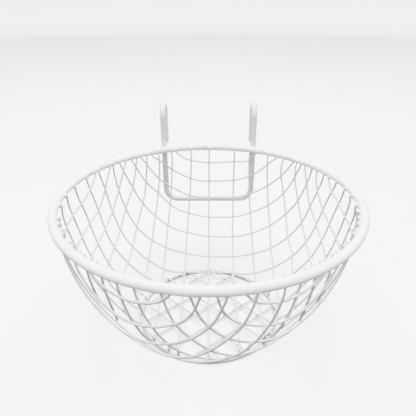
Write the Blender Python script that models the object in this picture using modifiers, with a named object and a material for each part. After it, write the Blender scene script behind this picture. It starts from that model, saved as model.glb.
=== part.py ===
"""Hanging feeder basket for rabbits and other small stock, made of coated steel wire.

A bowl of fine mesh wires hangs from a heavy rim ring and stands on a small foot ring.
Behind it, one bent wire makes two legs, a lower crossbar and two hooks that fold over
a cage wall.  Every wire is its own solid; nothing moves, because the real basket is
welded at each crossing.

Metres, +Z up.  The hooks are at +Y, the feeding side is at -Y, the foot ring stands
on z = 0, and the origin is below the middle of the whole object.
"""
import bisect
import math

import bpy
from mathutils import Vector

# ---- driving dimensions ---------------------------------------------------------------
RIM_OUTER_DIAMETER = 0.1524     # 6 in across the rim
RIM_TOP = 0.0762                # 3 in from the foot to the top of the rim
HOOK_TOP = 0.1016               # 4 in from the foot to the top of the hooks
RIM_WIRE = 0.0044               # wire diameters, coating included
FOOT_WIRE = 0.0020
HOOK_WIRE = 0.0038
MESH_WIRE = 0.0011
FOOT_RADIUS = 0.0380            # centreline of the foot ring
GAP = 0.0003                    # clearance where one wire lies on another
FLAT = math.cos(math.pi / 8)    # an eight-sided wire's flats, as a share of its radius

# ---- bowl wall --------------------------------------------------------------------------
RIM_RADIUS = (RIM_OUTER_DIAMETER - RIM_WIRE) / 2
RIM_HEIGHT = RIM_TOP - RIM_WIRE / 2
LAYER = MESH_WIRE + GAP                         # spacing of crossing mesh wires
FLOOR_LOW = FOOT_WIRE + GAP + MESH_WIRE / 2     # lowest mesh layer, on the foot ring
FLOOR_MID = FLOOR_LOW + LAYER
LAP_RADIUS = RIM_RADIUS - (RIM_WIRE + MESH_WIRE) / 2 - GAP   # wire ends inside the rim
WALL_RADIUS = LAP_RADIUS + 0.00065              # middle layer, just below the rim
BELLY_TOP = 2.0                                 # how upright the wall is at the rim
BELLY_FOOT = 1.16                               # how softly it leaves the floor
LAP_ZONE = 0.0050                               # wires turn to the rim this far below it
LAP_END = 0.0010                                # and touch its inside from here up
STUB = 0.0009                                   # wire end past the rim's centreline

# ---- hook frame -------------------------------------------------------------------------
HOOK_HALF_SPACING = 0.0290
HOOK_SLOT = 0.0095              # free gap between a leg and its return
HOOK_RETURN_END = 0.0730        # height at which each hook's free end stops
CROSSBAR_HEIGHT = 0.0370
CROSSBAR_BEND = 0.0075
HOOK_BEND = (HOOK_SLOT + HOOK_WIRE) / 2
HOOK_ARC_STEPS = 9              # an odd number leaves a level facet at the top
LEG_Y = math.sqrt((RIM_OUTER_DIAMETER / 2 + GAP + HOOK_WIRE / 2) ** 2 - HOOK_HALF_SPACING ** 2)
HOOK_BACK = LEG_Y + 2 * HOOK_BEND + HOOK_WIRE / 2
AXIS_Y = (RIM_OUTER_DIAMETER / 2 - HOOK_BACK) / 2   # bowl axis, seen from the origin

# ---- mesh layout --------------------------------------------------------------------------
# Long wires that cross the floor: back rim angle, place along X on the floor
SPINE_WIRES = ((109.5, -0.0290), (99.2, -0.0155), (89.7, 0.0), (76.3, 0.0160), (68.3, 0.0295))
# Every other wall wire is a smooth curve through places on the wall, each an angle in
# degrees round from +X and the millimetres climbed up the wall from the foot ring.
RIM = 80.0                                      # the whole climb; less than 0 is on the floor
BACK_WIRES = (
    ((64.8, RIM), (69.2, 73.2), (76.0, 71.8), (89.7, 70.2), (101.9, 73.3), (107.0, RIM)),
    ((53.6, RIM), (58.4, 73.0), (64.7, 65.6), (74.3, 59.7), (89.7, 57.8), (99.8, 60.0),
     (111.0, 68.5), (120.4, RIM)),
    ((44.0, RIM), (48.8, 70.0), (55.2, 61.0), (63.7, 53.3), (74.3, 47.8), (89.7, 46.7),
     (100.8, 48.6), (111.4, 56.0), (118.5, 64.4), (126.2, RIM)),
    ((39.3, RIM), (45.6, 60.0), (53.1, 48.3), (61.6, 41.0), (73.2, 35.0), (89.7, 33.6),
     (101.9, 36.7), (111.4, 42.2), (118.9, 53.3), (125.2, 63.0), (131.6, RIM)),
    ((32.4, RIM), (36.6, 59.0), (40.9, 47.8), (47.8, 36.7), (57.8, 27.8), (70.6, 22.0),
     (89.7, 20.6), (103.5, 23.6), (115.2, 29.4), (124.2, 40.0), (129.5, 50.0),
     (133.6, 63.3), (138.5, RIM)),
    ((24.4, RIM), (28.4, 59.0), (29.9, 46.7), (34.0, 34.4), (41.9, 22.8), (52.0, 15.0),
     (67.9, 8.9), (89.7, 6.9), (107.2, 10.0), (121.0, 16.0), (131.6, 25.6), (138.0, 37.8),
     (140.6, 52.0), (142.6, RIM)),
    ((14.8, RIM), (18.9, 66.7), (20.2, 52.0), (20.6, 41.0), (23.9, 26.7), (31.8, 13.3),
     (42.5, 4.4), (56.0, -1.5), (70.0, -4.5), (89.0, -6.3), (108.0, -4.5), (121.0, -0.5),
     (131.6, 4.4), (141.2, 15.6), (147.0, 29.0), (149.0, 43.0), (149.4, 66.7), (151.8, RIM)))
LEFT_WALL_WIRES = (
    ((160.8, RIM), (159.2, 73.0), (157.6, 58.0), (159.0, 37.8), (157.5, 24.4), (153.5, 11.0),
     (147.0, 0.6)),
    ((170.3, RIM), (168.2, 70.0), (166.8, 58.0), (169.5, 35.6), (171.0, 22.0), (168.0, 0.6)),
    ((179.4, RIM), (178.0, 73.0), (176.9, 58.0), (179.9, 37.8), (183.0, 20.0), (187.4, 0.6)),
    ((187.8, RIM), (187.2, 70.0), (187.0, 58.0), (191.0, 36.0), (197.0, 17.0), (206.1, 0.6)))
RIGHT_WALL_WIRES = (
    ((7.4, RIM), (10.4, 69.0), (11.5, 58.0), (11.1, 46.7), (10.9, 35.6), (12.2, 26.7),
     (13.8, 20.0), (18.1, 0.6)),
    ((0.5, RIM), (1.9, 66.7), (1.6, 55.6), (0.5, 46.7), (-0.5, 25.0), (-1.5, 0.6)),
    ((-8.0, RIM), (-6.4, 66.0), (-7.5, 50.0), (-11.0, 30.0), (-19.7, 0.6)),
    ((-13.5, RIM), (-13.6, 66.0), (-16.5, 47.0), (-23.0, 25.0), (-38.4, 0.6)))
# Long wires beside the floor, back half; the front half is the same shape on both sides
LEFT_SIDE_BACKS = (
    ((116.5, RIM), (117.3, 66.0), (119.9, 52.0), (124.2, 40.0), (131.6, 25.6), (141.2, 15.6),
     (151.8, 8.9), (180.0, 3.6)),
    ((122.8, RIM), (125.6, 62.0), (130.0, 50.0), (138.0, 37.8), (147.0, 28.3), (158.0, 22.0),
     (175.0, 18.3)),
    ((128.6, RIM), (133.2, 63.0), (141.2, 51.0), (149.0, 41.7), (159.2, 35.0),
     (169.8, 31.6)),
    ((134.9, RIM), (141.2, 65.6), (149.0, 54.4), (158.0, 47.8), (167.7, 44.4)),
    ((144.6, RIM), (150.7, 67.8), (157.0, 60.0), (167.0, 56.3)),
    ((154.2, RIM), (159.8, 73.4), (168.0, 69.4)))
RIGHT_SIDE_BACKS = (
    ((58.4, RIM), (57.8, 71.0), (56.3, 60.0), (53.6, 47.8), (48.8, 35.6), (41.9, 22.8),
     (31.8, 13.3), (24.9, 8.9), (0.0, 3.6)),
    ((49.7, RIM), (49.8, 70.0), (46.7, 60.0), (41.9, 47.8), (34.0, 34.4), (23.9, 26.7),
     (14.9, 20.0), (2.0, 18.0)),
    ((42.0, RIM), (41.2, 70.0), (37.0, 59.0), (30.2, 47.8), (20.7, 39.0), (11.0, 34.0)),
    ((36.8, RIM), (34.0, 71.0), (29.2, 60.0), (20.7, 52.0), (11.0, 46.8)),
    ((29.2, RIM), (26.5, 70.0), (19.6, 61.7), (11.0, 57.3)),
    ((20.5, RIM), (16.7, 74.0), (9.0, 71.0)))
SIDE_FRONTS = (
    ((215.0, 2.8), (238.0, 0.6)),
    ((190.6, 16.7), (203.0, 13.0), (215.0, 11.0), (228.0, 13.3), (237.0, 17.8),
     (242.6, 24.4), (243.7, 31.0), (242.0, 39.0), (241.0, 58.0), (239.4, RIM)),
    ((182.0, 30.8), (196.0, 29.0), (206.5, 26.7), (217.0, 29.0), (225.6, 35.6),
     (231.0, 46.7), (233.0, 58.0), (233.4, RIM)),
    ((182.0, 42.8), (201.0, 40.6), (212.0, 41.5), (220.3, 46.7), (224.0, 55.6),
     (225.0, RIM)),
    ((182.0, 55.5), (199.0, 58.5), (211.0, 67.0), (217.6, RIM)),
    ((182.0, 68.8), (194.0, 70.6), (203.0, 73.6), (208.0, RIM)))
# Front lattice: wires that start at the left and cross to the right, and their mirror images
FRONT_WIRES = (
    ((247.0, RIM), (248.5, 66.0), (250.5, 55.6), (254.4, 40.6), (258.5, 31.0),
     (266.0, 21.5), (278.0, 12.5), (292.0, 8.5), (306.0, 9.0), (320.0, 15.0),
     (331.0, 28.0), (338.0, 50.0), (341.5, RIM)),
    ((255.4, RIM), (259.0, 61.0), (263.8, 50.0), (269.7, 39.4), (275.5, 31.0),
     (283.0, 23.3), (293.0, 18.5), (304.0, 18.5), (315.0, 24.0), (325.0, 36.0),
     (332.0, 54.0), (337.2, RIM)),
    ((264.0, RIM), (266.0, 70.0), (269.5, 60.0), (275.0, 51.5), (282.5, 44.5),
     (290.5, 39.5), (300.0, 37.0), (311.0, 40.5), (320.0, 50.0), (326.0, 62.0),
     (329.2, RIM)),
    ((271.6, RIM), (274.0, 69.0), (277.5, 62.5), (281.6, 59.0), (288.7, 55.0),
     (297.0, 53.6), (306.0, 57.0), (314.0, 66.0), (319.8, RIM)),
    ((278.8, RIM), (283.2, 72.0), (288.7, 69.0), (296.0, 68.0), (305.0, 71.0),
     (312.8, RIM)))
FRONT_LAYERS = (0, -1)
OUTER_LIFT = 1.3                                # the outer layer's wires sit this much higher
FLOOR_TURN = (math.radians(40.0), math.radians(-44.0))
FLOOR_WIRES = ((-0.0270, -0.0150, -0.0020, 0.0100, 0.0220),
               (-0.0270, -0.0150, -0.0020, 0.0105, 0.0230))
FLOOR_LAYERS = (-2, -1)                         # inside the foot ring, and over it
FLOOR_REACHES = (FOOT_RADIUS - 0.0018, FOOT_RADIUS - 0.0004)
WALL_REACH = FOOT_RADIUS + 0.0006               # wall wires end beside them

PROFILE_STEPS = 400                             # samples up the wall
FINE_STEPS = 16                                 # samples from place to place on a curve
SPINE_STEPS = 60                                # samples down the wall on a spine wire
POINT_STEP = 0.009                              # spacing of a straight wire's points
BEND_STEP = 0.020                               # a radian of bend counts as this length

COLOURS = {"white_coat": (0.86, 0.87, 0.87, 1.0)}


# ---- scene helpers ------------------------------------------------------------------------
def clear_scene():
    for obj in list(bpy.data.objects):
        bpy.data.objects.remove(obj, do_unlink=True)


def make_collection(name):
    collection = bpy.data.collections.new(name)
    bpy.context.scene.collection.children.link(collection)
    return collection


def coat_material(name):
    """White powder coat: one material for each piece."""
    material = bpy.data.materials.new(name + "_coat")
    material.use_nodes = True
    shader = material.node_tree.nodes["Principled BSDF"]
    shader.inputs["Base Color"].default_value = COLOURS["white_coat"]
    shader.inputs["Roughness"].default_value = 0.32
    shader.inputs["Metallic"].default_value = 0.0
    return material


def add_wire(name, points, diameter, sides=6, tilt=0.0):
    """A round wire along the points, capped at both ends."""
    data = bpy.data.curves.new(name, "CURVE")
    data.dimensions = "3D"
    data.twist_mode = "MINIMUM"
    data.bevel_depth = diameter / 2
    data.bevel_resolution = sides // 2 - 2
    data.use_fill_caps = True
    data.render_resolution_u = 0
    spline = data.splines.new("POLY")
    spline.points.add(len(points) - 1)
    for spot, point in zip(spline.points, points):
        spot.co = (point[0], point[1], point[2], 1.0)
        spot.tilt = tilt
    spline.use_smooth = True
    data.materials.append(coat_material(name))
    wire = bpy.data.objects.new(name, data)
    basket.objects.link(wire)
    wire.parent = bowl_axis
    return wire


def add_ring(name, radius, diameter, height, steps, sides):
    """A ring of round wire: a turned circle with a flat facet at its foot."""
    profile = bpy.data.meshes.new(name)
    half_turn = math.pi / sides
    reach = diameter / 2
    angles = [-math.pi / 2 + half_turn * (2 * i + 1) for i in range(sides)]
    verts = [(radius + reach * math.cos(a), 0.0, height + reach * math.sin(a)) for a in angles]
    edges = [(i, (i + 1) % sides) for i in range(sides)]
    profile.from_pydata(verts, edges, [])
    profile.materials.append(coat_material(name))
    ring = bpy.data.objects.new(name, profile)
    basket.objects.link(ring)
    ring.parent = bowl_axis
    turn = ring.modifiers.new("Turn", "SCREW")
    turn.angle = 2 * math.pi
    turn.steps = turn.render_steps = steps
    turn.use_merge_vertices = True
    turn.merge_threshold = 0.00001
    turn.use_smooth_shade = True
    turn.use_normal_flip = True
    return ring


# ---- the bowl's surface -------------------------------------------------------------------
def wall_profile():
    """The wall's middle layer as (distance climbed, radius, height), foot to rim."""
    rows, climbed = [], 0.0
    for i in range(PROFILE_STEPS + 1):
        rise = i / PROFILE_STEPS
        share = (1 - (1 - rise) ** BELLY_TOP) ** (1 / BELLY_FOOT)
        radius = FOOT_RADIUS + (WALL_RADIUS - FOOT_RADIUS) * share
        height = FLOOR_MID + (RIM_HEIGHT - FLOOR_MID) * rise
        if rows:
            climbed += math.hypot(radius - rows[-1][1], height - rows[-1][2])
        rows.append((climbed, radius, height))
    return rows


WALL = wall_profile()
FLAT_RIM = FOOT_RADIUS + WALL[-1][0]


def wall_place(distance):
    """Radius, height and inward normal of the middle layer at a flat distance."""
    climbed = distance - FOOT_RADIUS
    if climbed <= 0:
        return distance, FLOOR_MID, 0.0, 1.0
    at = min(bisect.bisect_left(WALL, (climbed,)), PROFILE_STEPS)
    low, high = WALL[at - 1], WALL[at]
    share = min((climbed - low[0]) / (high[0] - low[0]), 1.0)
    slope = math.atan2(high[2] - low[2], high[1] - low[1])
    radius = low[1] + (high[1] - low[1]) * share
    height = low[2] + (high[2] - low[2]) * share
    return radius, height, -math.sin(slope), math.cos(slope)


def on_bowl(spot, layer):
    """The point of the bowl at a flat place, lifted by a number of mesh layers."""
    radius, height, inward, upward = wall_place(math.hypot(*spot))
    radius += inward * layer * LAYER
    height += upward * layer * LAYER
    angle = math.atan2(spot[1], spot[0])
    return Vector((radius * math.cos(angle), radius * math.sin(angle), height))


def rim_lap(spot):
    """The last two points of a wire that laps the inside of the rim."""
    angle = math.atan2(spot[1], spot[0])
    x, y = LAP_RADIUS * math.cos(angle), LAP_RADIUS * math.sin(angle)
    return [Vector((x, y, RIM_HEIGHT - LAP_END)), Vector((x, y, RIM_HEIGHT + STUB))]


def respace(points):
    """The same route with fewer points, closer together where the wire bends."""
    reach = [0.0]
    for i, (a, b) in enumerate(zip(points, points[1:])):
        bend = (b - a).angle(a - points[i - 1]) if i else 0.0
        reach.append(reach[-1] + (b - a).length + BEND_STEP * bend)
    count = max(round(reach[-1] / POINT_STEP) + 1, 2)
    spaced, at = [], 0
    for i in range(count):
        target = reach[-1] * i / (count - 1)
        while at < len(points) - 2 and reach[at + 1] < target:
            at += 1
        share = (target - reach[at]) / (reach[at + 1] - reach[at])
        spaced.append(points[at].lerp(points[at + 1], share))
    return spaced


def mesh_wire(name, route, layer, rim_start, rim_end):
    """A mesh wire over flat places, laid on the bowl; its rim ends lap the rim."""
    top = RIM_HEIGHT - LAP_ZONE
    points = [point for point in (on_bowl(place, layer) for place in route) if point.z < top]
    points = respace(points)
    if rim_start:
        points = rim_lap(route[0])[::-1] + points
    if rim_end:
        points += rim_lap(route[-1])
    return add_wire(name, points, MESH_WIRE)


# ---- flat routes ----------------------------------------------------------------------------
# The bowl is pressed flat into a disc about its axis: a place's distance from the axis is
# measured over the floor and on up the wall, so the foot ring is still at FOOT_RADIUS.
def flat_place(degrees, climb):
    angle = math.radians(degrees)
    distance = FOOT_RADIUS + climb * 0.001
    return distance * math.cos(angle), distance * math.sin(angle)


def through(places):
    """A smooth curve through (angle, climb) places, as flat places."""
    padded = [places[0], *places, places[-1]]
    route = []
    for before, start, end, after in zip(padded, padded[1:], padded[2:], padded[3:]):
        for i in range(FINE_STEPS):
            t = i / FINE_STEPS
            weights = ((2 - t) * t * t - t, (3 * t - 5) * t * t + 2,
                       (4 - 3 * t) * t * t + t, (t - 1) * t * t)
            route.append([sum(w * p[axis] for w, p in zip(weights, (before, start, end, after)))
                          / 2 for axis in range(2)])
    route.append(places[-1])
    return [flat_place(*place) for place in route]


def mirrored(places, lift=0.0):
    """The same curve on the other side of the bowl, a little higher below the rim."""
    return [(180.0 - angle, climb if climb == RIM else climb + lift) for angle, climb in places]


def chord(distance, normal_angle, radius):
    """End points of the straight line at a distance from the axis, inside a circle."""
    half = math.sqrt(radius ** 2 - distance ** 2)
    nx, ny = math.cos(normal_angle), math.sin(normal_angle)
    foot_x, foot_y = nx * distance, ny * distance
    return (foot_x - ny * half, foot_y + nx * half), (foot_x + ny * half, foot_y - nx * half)


# ---- sub-parts --------------------------------------------------------------------------------
def add_rim():
    add_ring("rim_ring", RIM_RADIUS, RIM_WIRE, RIM_HEIGHT, steps=72, sides=10)


def add_foot():
    add_ring("foot_ring", FOOT_RADIUS, FOOT_WIRE, FOOT_WIRE / 2 * FLAT, steps=48, sides=8)


def hook_side():
    """One side of the hook frame, from the free end to the middle of the crossbar."""
    top_facet = HOOK_BEND * math.cos(math.pi / 2 / HOOK_ARC_STEPS)
    apex = HOOK_TOP - HOOK_WIRE / 2 * FLAT - top_facet
    points = [(HOOK_HALF_SPACING, LEG_Y + 2 * HOOK_BEND, HOOK_RETURN_END)]
    for i in range(HOOK_ARC_STEPS + 1):
        angle = math.pi * i / HOOK_ARC_STEPS
        points.append((HOOK_HALF_SPACING, LEG_Y + HOOK_BEND * (1 + math.cos(angle)),
                       apex + HOOK_BEND * math.sin(angle)))
    for i in range(6):
        angle = math.pi / 2 * i / 5
        points.append((HOOK_HALF_SPACING - CROSSBAR_BEND * (1 - math.cos(angle)), LEG_Y,
                       CROSSBAR_HEIGHT + CROSSBAR_BEND * (1 - math.sin(angle))))
    return points


def add_hook_frame():
    right = hook_side()
    left = [(-x, y, z) for x, y, z in reversed(right)]
    add_wire("hook_frame", right + left, HOOK_WIRE, sides=8, tilt=math.pi / 8)


def spine_route(angle, on_floor):
    """Down the back wall, easing across to a place along X, then straight over the floor."""
    start = WALL_RADIUS * math.cos(math.radians(angle))
    route = []
    for i in range(SPINE_STEPS + 1):
        distance = FLAT_RIM + (FOOT_RADIUS - FLAT_RIM) * i / SPINE_STEPS
        radius = wall_place(distance)[0]
        share = ((radius - FOOT_RADIUS) / (WALL_RADIUS - FOOT_RADIUS)) ** 2
        x = (on_floor + (start - on_floor) * share) * distance / radius
        route.append((x, math.sqrt(distance ** 2 - x ** 2)))
    route.append((on_floor, -math.sqrt(WALL_REACH ** 2 - on_floor ** 2)))
    return route


def add_spine_wires():
    """Long wires from the back rim, down the wall and over the floor to the foot."""
    for number, (angle, on_floor) in enumerate(SPINE_WIRES, 1):
        mesh_wire(f"spine_wire_{number}", spine_route(angle, on_floor), 1, True, False)


def add_side_wires():
    """Long wires that pass beside the floor, from the back rim round to the front."""
    for number, (left, right, front) in enumerate(
            zip(LEFT_SIDE_BACKS, RIGHT_SIDE_BACKS, SIDE_FRONTS), 1):
        at_rim = front[-1][1] == RIM
        mesh_wire(f"left_side_wire_{number}", through(left + front), 1, True, at_rim)
        across = right + tuple(mirrored(front))
        mesh_wire(f"right_side_wire_{number}", through(across), 1, True, at_rim)


def add_back_wires():
    for number, places in enumerate(BACK_WIRES, 1):
        mesh_wire(f"back_wire_{number}", through(places), 0, True, True)


def add_wall_wires():
    """Short wires from the rim at each side down to the foot ring."""
    for side, wires in (("left", LEFT_WALL_WIRES), ("right", RIGHT_WALL_WIRES)):
        for number, places in enumerate(wires, 1):
            mesh_wire(f"{side}_wall_wire_{number}", through(places), 0, True, False)


def add_front_wires():
    """Front lattice: wires that lean one way, and their opposites in the outer layer."""
    for number, places in enumerate(FRONT_WIRES, 1):
        mesh_wire(f"front_right_wire_{number}", through(places), FRONT_LAYERS[0], True, True)
        opposite = through(mirrored(places, OUTER_LIFT))
        mesh_wire(f"front_left_wire_{number}", opposite, FRONT_LAYERS[1], True, True)


def add_floor_wires():
    """Diamond lattice inside the foot ring, in two layers."""
    families = zip(("a", "b"), FLOOR_TURN, FLOOR_WIRES, FLOOR_LAYERS, FLOOR_REACHES)
    for lean, turn, offsets, layer, floor_reach in families:
        for number, distance in enumerate(offsets, 1):
            ends = chord(distance, turn - math.pi / 2, floor_reach)
            points = [on_bowl(end, layer) for end in ends]
            add_wire(f"floor_{lean}_wire_{number}", points, MESH_WIRE)


clear_scene()
basket = make_collection("wire_feeder_basket")
bowl_axis = bpy.data.objects.new("bowl_axis", None)
basket.objects.link(bowl_axis)
bowl_axis.location = (0.0, AXIS_Y, 0.0)
add_rim()
add_foot()
add_hook_frame()
add_spine_wires()
add_side_wires()
add_back_wires()
add_wall_wires()
add_front_wires()
add_floor_wires()
bpy.context.view_layer.update()
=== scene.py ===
"""The looks of a hanging wire feeder basket: smooth powder-coated wire with its welds.

Each packed wire's centre line is read from the frame and drawn again as a smooth round
wire with rounded ends.  Weld nuggets and beads are added where wires meet.  Nothing moves,
so every piece rides on the one body.
"""

import math

import bmesh
import bpy
from mathutils import Matrix, Vector, kdtree, noise


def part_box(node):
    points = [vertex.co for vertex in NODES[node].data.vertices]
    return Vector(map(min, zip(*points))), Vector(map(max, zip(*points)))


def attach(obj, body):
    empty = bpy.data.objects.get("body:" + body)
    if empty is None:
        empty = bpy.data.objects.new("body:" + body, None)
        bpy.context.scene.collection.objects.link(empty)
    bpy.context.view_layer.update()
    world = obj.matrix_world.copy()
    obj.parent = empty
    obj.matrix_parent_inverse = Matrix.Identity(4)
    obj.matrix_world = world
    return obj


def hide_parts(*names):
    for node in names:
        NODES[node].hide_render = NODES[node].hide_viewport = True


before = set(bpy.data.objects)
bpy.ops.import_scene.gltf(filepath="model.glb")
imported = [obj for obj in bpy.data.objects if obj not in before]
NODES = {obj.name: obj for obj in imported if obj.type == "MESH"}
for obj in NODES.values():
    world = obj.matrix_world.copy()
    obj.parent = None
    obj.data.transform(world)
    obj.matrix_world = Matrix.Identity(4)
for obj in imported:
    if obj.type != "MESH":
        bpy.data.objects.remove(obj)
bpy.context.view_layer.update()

# ---- wire gauges and bends, in metres -------------------------------------------------------
FOOT_WIRE = 0.0020
HOOK_WIRE = 0.0038
MESH_WIRE = 0.0011
HOOK_RETURN_END = 0.0730        # height of each hook's free end
HOOK_CORNER = 0.0075            # bend from each leg into the crossbar

# ---- places, from the frame -----------------------------------------------------------------
RIM_LOW, RIM_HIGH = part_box("rim_ring")
FOOT_LOW, FOOT_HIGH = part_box("foot_ring")
HOOK_LOW, HOOK_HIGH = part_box("hook_frame")
AXIS = Vector(((RIM_LOW[0] + RIM_HIGH[0]) / 2, (RIM_LOW[1] + RIM_HIGH[1]) / 2, 0.0))
RIM_WIRE = RIM_HIGH[2] - RIM_LOW[2]
RIM_RADIUS = (RIM_HIGH[0] - RIM_LOW[0] - RIM_WIRE) / 2
RIM_HEIGHT = (RIM_LOW[2] + RIM_HIGH[2]) / 2
FOOT_RADIUS = (FOOT_HIGH[0] - FOOT_LOW[0] - FOOT_WIRE) / 2
LEG_X = (HOOK_HIGH[0] - HOOK_LOW[0] - HOOK_WIRE) / 2
LEG_Y = HOOK_LOW[1] + HOOK_WIRE / 2
UP = Vector((0, 0, 1))

# ---- smooth wires ---------------------------------------------------------------------------
MESH_SIDES = 10
HOOK_SIDES = 18
LINE_STEP = 0.0020              # spacing of rings along a smooth wire
SHORT_EDGE = MESH_WIRE * 1.05   # no edge of a wire's end cap is longer
END_ROUNDING = ((0.42, 0.10), (0.76, 0.38), (0.95, 0.70))   # (girth, depth in) as shares of radius
WIRE_LUMPS = 500.0              # lumps in a metre of mesh or hook wire
RING_LUMPS = 90.0               # lumps in a metre of rim or foot ring

# ---- welds: half sizes of each lump ---------------------------------------------------------
WELD_REACH = 0.0018             # centre lines this close are welded together
SEARCH_STEP = 0.0005            # spacing of the places compared to find crossings
NUGGET = (0.00062, 0.00060, 0.00060)        # across the two wires, along one, beside it
RIM_BEAD = (0.00095, 0.00085, 0.0016)       # outward, round the rim, upward
RIM_END_DEPTH = 0.002           # a wire's end this near the rim's middle height is welded to it
FOOT_BEAD = (0.0009, 0.0008)                # outward, round the ring
FOOT_BEAD_LEAST = 0.0009                    # its least half height
FOOT_END_HEIGHT = 0.012         # a wire's end lower than this is welded to the foot ring
HOOK_BEAD = (0.0010, 0.0011, 0.0021)        # outward, round the rim, upward
HOOK_BEAD_LEAN = 0.0009         # each of a leg's two beads sits this far to one side
SEAM_BEAD = 0.0010                          # round the rim
SEAM_INSET = 0.0004
SEAM_LUMPS = ((90.4, 0.00062), (92.6, 0.00050), (88.2, 0.00056))    # degrees round, standing out


# ---- materials ------------------------------------------------------------------------------
DRIFT_SCALE = 60.0
GLOSS_SCALE = 240.0
CHIP_SCALE = 900.0
CHIP_TONE = (0.13, 0.13, 0.14, 1.0)
PAPER_TONES = ((0.86, 0.86, 0.86), (0.89, 0.89, 0.89))


def node(tree, kind, **inputs):
    """A new shader node with the named inputs set."""
    made = tree.nodes.new(kind)
    for name, value in inputs.items():
        made.inputs[name.replace("_", " ")].default_value = value
    return made


def noise_layer(tree, coords, scale, detail, roughness=0.5):
    layer = node(tree, "ShaderNodeTexNoise", Scale=scale, Detail=detail, Roughness=roughness)
    tree.links.new(coords.outputs["Object"], layer.inputs["Vector"])
    return layer


def tone_ramp(tree, layer, dark, light):
    """Noise turned into a slow drift between two tones."""
    ramp = tree.nodes.new("ShaderNodeValToRGB")
    for element, place, tone in zip(ramp.color_ramp.elements, (0.35, 0.68), (dark, light)):
        element.position = place
        element.color = (*tone, 1.0)
    tree.links.new(layer.outputs["Fac"], ramp.inputs["Fac"])
    return ramp


def bump(tree, layer, strength, distance):
    relief = node(tree, "ShaderNodeBump", Strength=strength, Distance=distance)
    tree.links.new(layer.outputs["Fac"], relief.inputs["Height"])
    return relief


def powder_coat(name, dark, light, rough, peel_scale, peel_height):
    """Powder coat: faint tone drift, uneven gloss, orange peel over slow lumps."""
    material = bpy.data.materials.new(name)
    material.use_nodes = True
    tree = material.node_tree
    shader = tree.nodes["Principled BSDF"]
    coords = tree.nodes.new("ShaderNodeTexCoord")
    tone = tone_ramp(tree, noise_layer(tree, coords, DRIFT_SCALE, 4.0, 0.6), dark, light)
    tree.links.new(tone.outputs["Color"], shader.inputs["Base Color"])
    gloss = node(tree, "ShaderNodeMapRange", From_Min=0.3, From_Max=0.7,
                 To_Min=rough - 0.05, To_Max=rough + 0.09)
    tree.links.new(noise_layer(tree, coords, GLOSS_SCALE, 3.0).outputs["Fac"],
                   gloss.inputs["Value"])
    tree.links.new(gloss.outputs["Result"], shader.inputs["Roughness"])
    lumps = bump(tree, noise_layer(tree, coords, peel_scale * 0.3, 2.0), 0.35, peel_height * 2.5)
    peel = bump(tree, noise_layer(tree, coords, peel_scale, 3.0, 0.55), 0.5, peel_height)
    tree.links.new(lumps.outputs["Normal"], peel.inputs["Normal"])
    tree.links.new(peel.outputs["Normal"], shader.inputs["Normal"])
    shader.inputs["Coat Weight"].default_value = 0.1
    shader.inputs["Coat Roughness"].default_value = 0.12
    shader.inputs["IOR"].default_value = 1.5
    return material


def chip_coat(material, middle, reach):
    """Small dark chips in the coat around a place."""
    tree = material.node_tree
    shader = tree.nodes["Principled BSDF"]
    whole = shader.inputs["Base Color"].links[0].from_socket
    coords = tree.nodes.new("ShaderNodeTexCoord")
    away = tree.nodes.new("ShaderNodeVectorMath")
    away.operation = "DISTANCE"
    away.inputs[1].default_value = middle
    tree.links.new(coords.outputs["Object"], away.inputs[0])
    near = node(tree, "ShaderNodeMapRange", From_Min=reach, From_Max=reach * 0.6)
    tree.links.new(away.outputs["Value"], near.inputs["Value"])
    flakes = noise_layer(tree, coords, CHIP_SCALE, 2.0)
    edge = node(tree, "ShaderNodeMapRange", From_Min=0.60, From_Max=0.63)
    tree.links.new(flakes.outputs["Fac"], edge.inputs["Value"])
    both = tree.nodes.new("ShaderNodeMath")
    both.operation = "MULTIPLY"
    tree.links.new(near.outputs["Result"], both.inputs[0])
    tree.links.new(edge.outputs["Result"], both.inputs[1])
    mix = tree.nodes.new("ShaderNodeMix")
    mix.data_type = "RGBA"
    under, over = [socket for socket in mix.inputs if socket.type == "RGBA"]
    over.default_value = CHIP_TONE
    tree.links.new(both.outputs["Value"], mix.inputs["Factor"])
    tree.links.new(whole, under)
    colour = next(socket for socket in mix.outputs if socket.type == "RGBA")
    tree.links.new(colour, shader.inputs["Base Color"])


# Each row: name, two tones, roughness, orange peel's scale and height.
COATS = {
    row[0]: powder_coat(*row) for row in (
        ("rim_coat", (0.82, 0.83, 0.85), (0.88, 0.89, 0.91), 0.30, 1500.0, 0.00006),
        # foot_coat's tones are the white powder coat darkened to grey, like the mesh: painted
        # shade on the foot ring and its beads, which sit in shadow.
        ("foot_coat", (0.38, 0.395, 0.44), (0.48, 0.495, 0.54), 0.36, 1800.0, 0.00005),
        # hook_coat's tones are the white powder coat darkened to mid grey: painted shade on the
        # hook frame and its beads.
        ("hook_coat", (0.54, 0.56, 0.605), (0.62, 0.64, 0.685), 0.33, 1600.0, 0.00006),
        # mesh_coat's tones are the white powder coat darkened to grey: painted shade on the mesh
        # wires and their weld nuggets.
        ("mesh_coat", (0.38, 0.395, 0.44), (0.48, 0.495, 0.54), 0.36, 2200.0, 0.00004),
    )
}
chip_coat(COATS["rim_coat"], middle=(0.001, AXIS.y + RIM_RADIUS, RIM_HEIGHT), reach=0.008)


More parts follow.
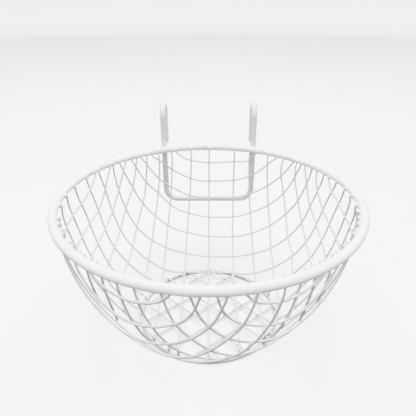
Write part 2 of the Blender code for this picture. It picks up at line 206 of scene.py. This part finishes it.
# ---- wires ----------------------------------------------------------------------------------
def centre_line(name):
    """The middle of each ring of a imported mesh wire, from one end to the other."""
    mesh = bmesh.new()
    mesh.from_mesh(NODES[name].data)
    bmesh.ops.remove_doubles(mesh, verts=mesh.verts, dist=1e-6)
    caps = [face for face in mesh.faces
            if max(edge.calc_length() for edge in face.edges) < SHORT_EDGE]
    ring = set(caps[0].verts)
    grown = True
    while grown:
        more = {vert for face in caps for vert in face.verts if ring & set(face.verts)}
        grown = not more <= ring
        ring |= more
    centres, seen = [], set()
    while ring:
        centres.append(sum((vert.co for vert in ring), Vector()) / len(ring))
        seen |= ring
        ring = {edge.other_vert(vert) for vert in ring for edge in vert.link_edges} - seen
    mesh.free()
    return centres


def smooth_line(points, step):
    """A smooth curve through the points, as places no further apart than the step."""
    tangents = [(b - a).normalized()
                for a, b in zip([points[0], *points[:-1]], [*points[1:], points[-1]])]
    line = []
    for start, end, leave, arrive in zip(points, points[1:], tangents, tangents[1:]):
        length = (end - start).length
        count = max(math.ceil(length / step), 1)
        for i in range(count):
            t = i / count
            line.append(start * ((1 + 2 * t) * (1 - t) ** 2) + end * (t * t * (3 - 2 * t))
                        + leave * (length * t * (1 - t) ** 2)
                        + arrive * (length * t * t * (t - 1)))
    line.append(points[-1])
    return line


def skin(mesh, loops):
    """Faces between each loop of vertices and the next."""
    for low, high in zip(loops, loops[1:]):
        for k, corner in enumerate(low):
            after = (k + 1) % len(low)
            mesh.faces.new((corner, low[after], high[after], high[k]))


def sweep(mesh, line, radius, sides, wobble):
    """A round wire along a line, with rounded ends that stay inside its length."""
    first = (line[1] - line[0]).normalized()
    last = (line[-1] - line[-2]).normalized()
    rings = [(line[0] + first * radius * depth, girth) for girth, depth in END_ROUNDING]
    rings += [(place, 1.0) for place in line[1:-1]]
    rings += [(line[-1] - last * radius * depth, girth) for girth, depth in END_ROUNDING[::-1]]
    places = [place for place, _ in rings]
    side = first.orthogonal().normalized()
    loops = []
    for before, (place, girth), after in zip([places[0], *places], rings,
                                             [*places[1:], places[-1]]):
        ahead = (after - before).normalized()
        side = (side - ahead * side.dot(ahead)).normalized()
        across = ahead.cross(side)
        reach = radius * girth * (1 + wobble * noise.noise(place * WIRE_LUMPS))
        loops.append([mesh.verts.new(place + (side * math.cos(a) + across * math.sin(a)) * reach)
                      for a in (2 * math.pi * k / sides for k in range(sides))])
    skin(mesh, loops)
    mesh.faces.new(loops[0][::-1])
    mesh.faces.new(loops[-1])


def finish_piece(name, mesh, coat, replaced=()):
    """Turn a bmesh into a smooth-shaded object that rides on the body."""
    bmesh.ops.recalc_face_normals(mesh, faces=mesh.faces)
    data = bpy.data.meshes.new(name)
    mesh.to_mesh(data)
    mesh.free()
    data.shade_smooth()
    data.materials.append(COATS[coat])
    piece = bpy.data.objects.new(name, data)
    bpy.context.scene.collection.objects.link(piece)
    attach(piece, "root")
    if replaced:
        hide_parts(*replaced)
    return piece


def mesh_wires():
    """Every mesh wire again, smooth and round; gives each one's line by name."""
    lines = {}
    for name in sorted(set(NODES) - {"rim_ring", "foot_ring", "hook_frame"}):
        lines[name] = smooth_line(centre_line(name), LINE_STEP)
        mesh = bmesh.new()
        sweep(mesh, lines[name], MESH_WIRE / 2, MESH_SIDES, wobble=0.06)
        finish_piece("round_" + name, mesh, "mesh_coat", [name])
    return lines


def torus(mesh, radius, height, wire, steps, sides, wobble):
    """A ring of round wire about the bowl's axis, its thickness a little uneven."""
    loops = []
    for i in range(steps):
        turn = 2 * math.pi * i / steps
        out = Vector((math.cos(turn), math.sin(turn), 0.0))
        middle = AXIS + out * radius + UP * height
        loop = []
        for k in range(sides):
            a = 2 * math.pi * k / sides
            away = out * math.cos(a) + UP * math.sin(a)
            lump = 0.5 + 0.5 * noise.noise((middle + away * wire) * RING_LUMPS)
            loop.append(mesh.verts.new(middle + away * (wire / 2 * (1 - wobble * lump))))
        loops.append(loop)
    skin(mesh, [*loops, loops[0]])


def rim_and_foot():
    mesh = bmesh.new()
    torus(mesh, RIM_RADIUS, RIM_HEIGHT, RIM_WIRE, steps=220, sides=24, wobble=0.02)
    finish_piece("round_rim", mesh, "rim_coat", ["rim_ring"])
    mesh = bmesh.new()
    torus(mesh, FOOT_RADIUS, FOOT_WIRE / 2, FOOT_WIRE, steps=130, sides=14, wobble=0.03)
    finish_piece("round_foot_ring", mesh, "foot_coat", ["foot_ring"])


def hook_line():
    """The bent wire's line: free end, hook, leg, crossbar and back again."""
    return_steps, bend_steps, leg_steps, corner_steps, bar_steps = 6, 14, 12, 10, 12
    return_y = HOOK_HIGH[1] - HOOK_WIRE / 2
    bend = (return_y - LEG_Y) / 2
    bend_z = HOOK_HIGH[2] - HOOK_WIRE / 2 - bend
    bar_z = HOOK_LOW[2] + HOOK_WIRE / 2
    bar_half = LEG_X - HOOK_CORNER
    right = [Vector((LEG_X, return_y,
                     HOOK_RETURN_END + (bend_z - HOOK_RETURN_END) * i / return_steps))
             for i in range(return_steps)]
    right += [Vector((LEG_X, LEG_Y + bend * (1 + math.cos(a)), bend_z + bend * math.sin(a)))
              for a in (math.pi * i / bend_steps for i in range(bend_steps + 1))]
    right += [Vector((LEG_X, LEG_Y, bend_z + (bar_z + HOOK_CORNER - bend_z) * i / leg_steps))
              for i in range(1, leg_steps)]
    right += [Vector((bar_half + HOOK_CORNER * math.cos(a), LEG_Y,
                      bar_z + HOOK_CORNER * (1 - math.sin(a))))
              for a in (math.pi / 2 * i / corner_steps for i in range(corner_steps + 1))]
    left = [Vector((-p.x, p.y, p.z)) for p in reversed(right)]
    across = [Vector((bar_half * (1 - 2 * i / bar_steps), LEG_Y, bar_z))
              for i in range(1, bar_steps)]
    return right + across + left


def hook_frame():
    mesh = bmesh.new()
    sweep(mesh, hook_line(), HOOK_WIRE / 2, HOOK_SIDES, wobble=0.03)
    finish_piece("round_hook_frame", mesh, "hook_coat", ["hook_frame"])


# ---- welds ----------------------------------------------------------------------------------
def blob(mesh, centre, directions, sizes, seed):
    """A weld lump: uneven and rounded, with a half size in each of three directions."""
    turn = Matrix([way * size for way, size in zip(directions, sizes)]).transposed().to_4x4()
    made = bmesh.ops.create_icosphere(mesh, subdivisions=2, radius=1.0)
    for vert in made["verts"]:
        lump = 1 + 0.16 * noise.noise(vert.co * 1.7 + Vector((seed, seed * 0.37, 0.0)))
        vert.co = centre + turn @ (vert.co * lump)


def outward(place):
    """From the bowl's axis toward a place, level."""
    return (Vector((place.x, place.y, 0.0)) - AXIS).normalized()


def upright(out):
    """Three directions at a place on a ring: outward, round the ring, upward."""
    return out, out.cross(UP), UP


def wire_ends(lines):
    return [end for name in sorted(lines) for end in (lines[name][0], lines[name][-1])]


def crossings(lines):
    """Where two mesh wires touch: middle, direction across, and along the first wire."""
    found = []
    names = sorted(lines)
    dense = {name: smooth_line(lines[name], SEARCH_STEP) for name in names}
    trees = {}
    for name in names:
        trees[name] = kdtree.KDTree(len(dense[name]))
        for index, place in enumerate(dense[name]):
            trees[name].insert(place, index)
        trees[name].balance()
    for number, first in enumerate(names):
        for second in names[number + 1:]:
            near = [trees[second].find(place) for place in dense[first]]
            for i in range(1, len(near) - 1):
                there, _, gap = near[i]
                if gap < WELD_REACH and near[i - 1][2] >= gap < near[i + 1][2]:
                    here = dense[first][i]
                    along = (dense[first][i + 1] - dense[first][i - 1]).normalized()
                    found.append(((here + there) / 2, (there - here).normalized(), along))
    return found


def mesh_welds(lines):
    """A small nugget squeezed out between the wires at each crossing."""
    mesh = bmesh.new()
    for number, (middle, across, along) in enumerate(crossings(lines)):
        beside = across.cross(along).normalized()
        blob(mesh, middle, (across, along, beside), NUGGET, number * 1.3)
    finish_piece("mesh_weld_nuggets", mesh, "mesh_coat")


def rim_welds(lines):
    """A bead between each wire's lapped end and the inside of the rim."""
    mesh = bmesh.new()
    ends = [end for end in wire_ends(lines) if end.z >= RIM_HEIGHT - RIM_END_DEPTH]
    for number, end in enumerate(ends):
        out = outward(end)
        middle = AXIS + out * (RIM_RADIUS - RIM_WIRE / 2 - 0.00005)
        middle.z = RIM_HEIGHT + 0.0001
        blob(mesh, middle, upright(out), RIM_BEAD, number * 2.1)
    finish_piece("rim_weld_beads", mesh, "rim_coat")


def foot_welds(lines):
    """A bead under each wire end that rests on the foot ring."""
    mesh = bmesh.new()
    ends = [end for end in wire_ends(lines) if end.z <= FOOT_END_HEIGHT]
    for number, end in enumerate(ends):
        out = outward(end)
        middle = AXIS + out * FOOT_RADIUS
        middle.z = (end.z + FOOT_WIRE / 2) / 2 + 0.0002
        height = max((end.z - FOOT_WIRE / 2) / 2, FOOT_BEAD_LEAST)
        blob(mesh, middle, upright(out), (*FOOT_BEAD, height), number * 1.7)
    finish_piece("foot_weld_beads", mesh, "foot_coat")


def hook_welds():
    """Two beads side by side where each of the hook frame's legs stands against the rim."""
    mesh = bmesh.new()
    for number, side in enumerate((-1, 1)):
        leg = Vector((side * LEG_X, LEG_Y, RIM_HEIGHT))
        out = outward(leg)
        middle = leg - out * (HOOK_WIRE / 2 + 0.0002)
        for step, lean in enumerate((-HOOK_BEAD_LEAN, HOOK_BEAD_LEAN)):
            blob(mesh, middle + out.cross(UP) * lean, upright(out), HOOK_BEAD, 3.0 * number + step)
    finish_piece("hook_weld_beads", mesh, "hook_coat")


def rim_joint():
    """The upset seam where the rim's two ends were butt welded, behind the bowl."""
    mesh = bmesh.new()
    for number, (degrees, stand) in enumerate(SEAM_LUMPS):
        a = math.radians(degrees)
        out = Vector((math.cos(a), math.sin(a), 0.0))
        middle = AXIS + out * (RIM_RADIUS - SEAM_INSET)
        middle.z = RIM_HEIGHT
        size = RIM_WIRE / 2 - SEAM_INSET + stand
        blob(mesh, middle, (out, UP.cross(out), UP), (size, SEAM_BEAD, size), number + 0.4)
    finish_piece("rim_butt_weld", mesh, "rim_coat")


# ---- stage ----------------------------------------------------------------------------------
PAPER_DROP = -0.0002            # the paper lies just under the foot ring
PAPER_HUB = 0.25                # radius of its first ring of vertices
PAPER_FLOOR = 1.6               # radius where it starts to curve up
PAPER_BEND = 0.7
PAPER_TOP = 2.6
PAPER_SPOKES = 64
ROOM_STRENGTH = 8.5
# Each row: height from straight down, 0, to straight up, 1, and the light's colour there.
ROOM_TONES = ((0.0, (0.012, 0.013, 0.016)), (0.49, (0.015, 0.016, 0.02)),
              (0.55, (0.06, 0.063, 0.07)), (0.72, (0.31, 0.315, 0.325)), (1.0, (1.0, 1.0, 1.0)))


def paper():
    material = bpy.data.materials.new("pale_paper")
    material.use_nodes = True
    tree = material.node_tree
    shader = tree.nodes["Principled BSDF"]
    coords = tree.nodes.new("ShaderNodeTexCoord")
    tone = tone_ramp(tree, noise_layer(tree, coords, 3.0, 2.0), *PAPER_TONES)
    tree.links.new(tone.outputs["Color"], shader.inputs["Base Color"])
    shader.inputs["Roughness"].default_value = 0.14
    shader.inputs["Specular IOR Level"].default_value = 0.55
    return material


def stage():
    """A round sheet of paper: floor, a wide curve and a wall far off on every side."""
    bend_steps = 14
    outline = [(PAPER_HUB, PAPER_DROP), (PAPER_FLOOR, PAPER_DROP)]
    outline += [(PAPER_FLOOR + PAPER_BEND * math.sin(a), PAPER_BEND * (1 - math.cos(a)))
                for a in (math.pi / 2 * i / bend_steps for i in range(1, bend_steps + 1))]
    outline.append((PAPER_FLOOR + PAPER_BEND, PAPER_TOP))
    mesh = bmesh.new()
    middle = mesh.verts.new((0.0, 0.0, PAPER_DROP))
    spokes = []
    for i in range(PAPER_SPOKES):
        a = 2 * math.pi * i / PAPER_SPOKES
        spokes.append([mesh.verts.new((r * math.cos(a), r * math.sin(a), z)) for r, z in outline])
    for here, after in zip(spokes, spokes[1:] + spokes[:1]):
        mesh.faces.new((middle, here[0], after[0]))
        for k in range(len(outline) - 1):
            mesh.faces.new((here[k], here[k + 1], after[k + 1], after[k]))
    data = bpy.data.meshes.new("paper_sweep")
    mesh.to_mesh(data)
    mesh.free()
    data.shade_smooth()
    data.materials.append(paper())
    sheet = bpy.data.objects.new("paper_sweep", data)
    bpy.context.scene.collection.objects.link(sheet)
    sheet.visible_diffuse = False
    sheet.visible_glossy = False
    sheet.visible_shadow = False


def softbox(name, place, target, size, power):
    """A round area light that faces a target."""
    lamp = bpy.data.lights.new(name, "AREA")
    lamp.shape = "DISK"
    lamp.size = size
    lamp.energy = power
    made = bpy.data.objects.new(name, lamp)
    made.location = place
    made.rotation_euler = (Vector(target) - Vector(place)).to_track_quat("-Z", "Y").to_euler()
    bpy.context.scene.collection.objects.link(made)


def room():
    """A soft white room, brightest overhead and dim below the table."""
    world = bpy.data.worlds.new("soft_room")
    bpy.context.scene.world = world
    world.use_nodes = True
    tree = world.node_tree
    background = tree.nodes["Background"]
    coords = tree.nodes.new("ShaderNodeTexCoord")
    split = tree.nodes.new("ShaderNodeSeparateXYZ")
    height = node(tree, "ShaderNodeMapRange", From_Min=-1.0)
    ramp = tree.nodes.new("ShaderNodeValToRGB")
    ramp.color_ramp.elements[0].position = ROOM_TONES[0][0]
    ramp.color_ramp.elements[1].position = ROOM_TONES[-1][0]
    for place, _ in ROOM_TONES[1:-1]:
        ramp.color_ramp.elements.new(place)
    for element, (_, colour) in zip(ramp.color_ramp.elements, ROOM_TONES):
        element.color = (*colour, 1.0)
    tree.links.new(coords.outputs["Generated"], split.inputs["Vector"])
    tree.links.new(split.outputs["Z"], height.inputs["Value"])
    tree.links.new(height.outputs["Result"], ramp.inputs["Fac"])
    tree.links.new(ramp.outputs["Color"], background.inputs["Color"])
    background.inputs["Strength"].default_value = ROOM_STRENGTH


def lights():
    room()
    softbox("ceiling_softbox", place=(0.0, 0.30, 1.2), target=(0, 0.05, 0.0), size=1.0, power=70.0)
    softbox("backdrop_softbox", place=(0.0, 0.5, 1.5), target=(0, 1.6, 0.6), size=1.2, power=40.0)


def camera():
    lens = bpy.data.cameras.new("camera")
    lens.sensor_width = 36.0
    lens.lens = 36.35
    lens.shift_x = -0.0014
    lens.clip_start = 0.01
    eye = bpy.data.objects.new("camera", lens)
    eye.location = (0.0, AXIS.y - 0.1884, 0.1660)
    eye.rotation_euler = (math.radians(62.42), 0.0, 0.0)
    bpy.context.scene.collection.objects.link(eye)
    bpy.context.scene.camera = eye


camera()
rim_and_foot()
hook_frame()
wire_lines = mesh_wires()
mesh_welds(wire_lines)
rim_welds(wire_lines)
foot_welds(wire_lines)
hook_welds()
rim_joint()
stage()
lights()
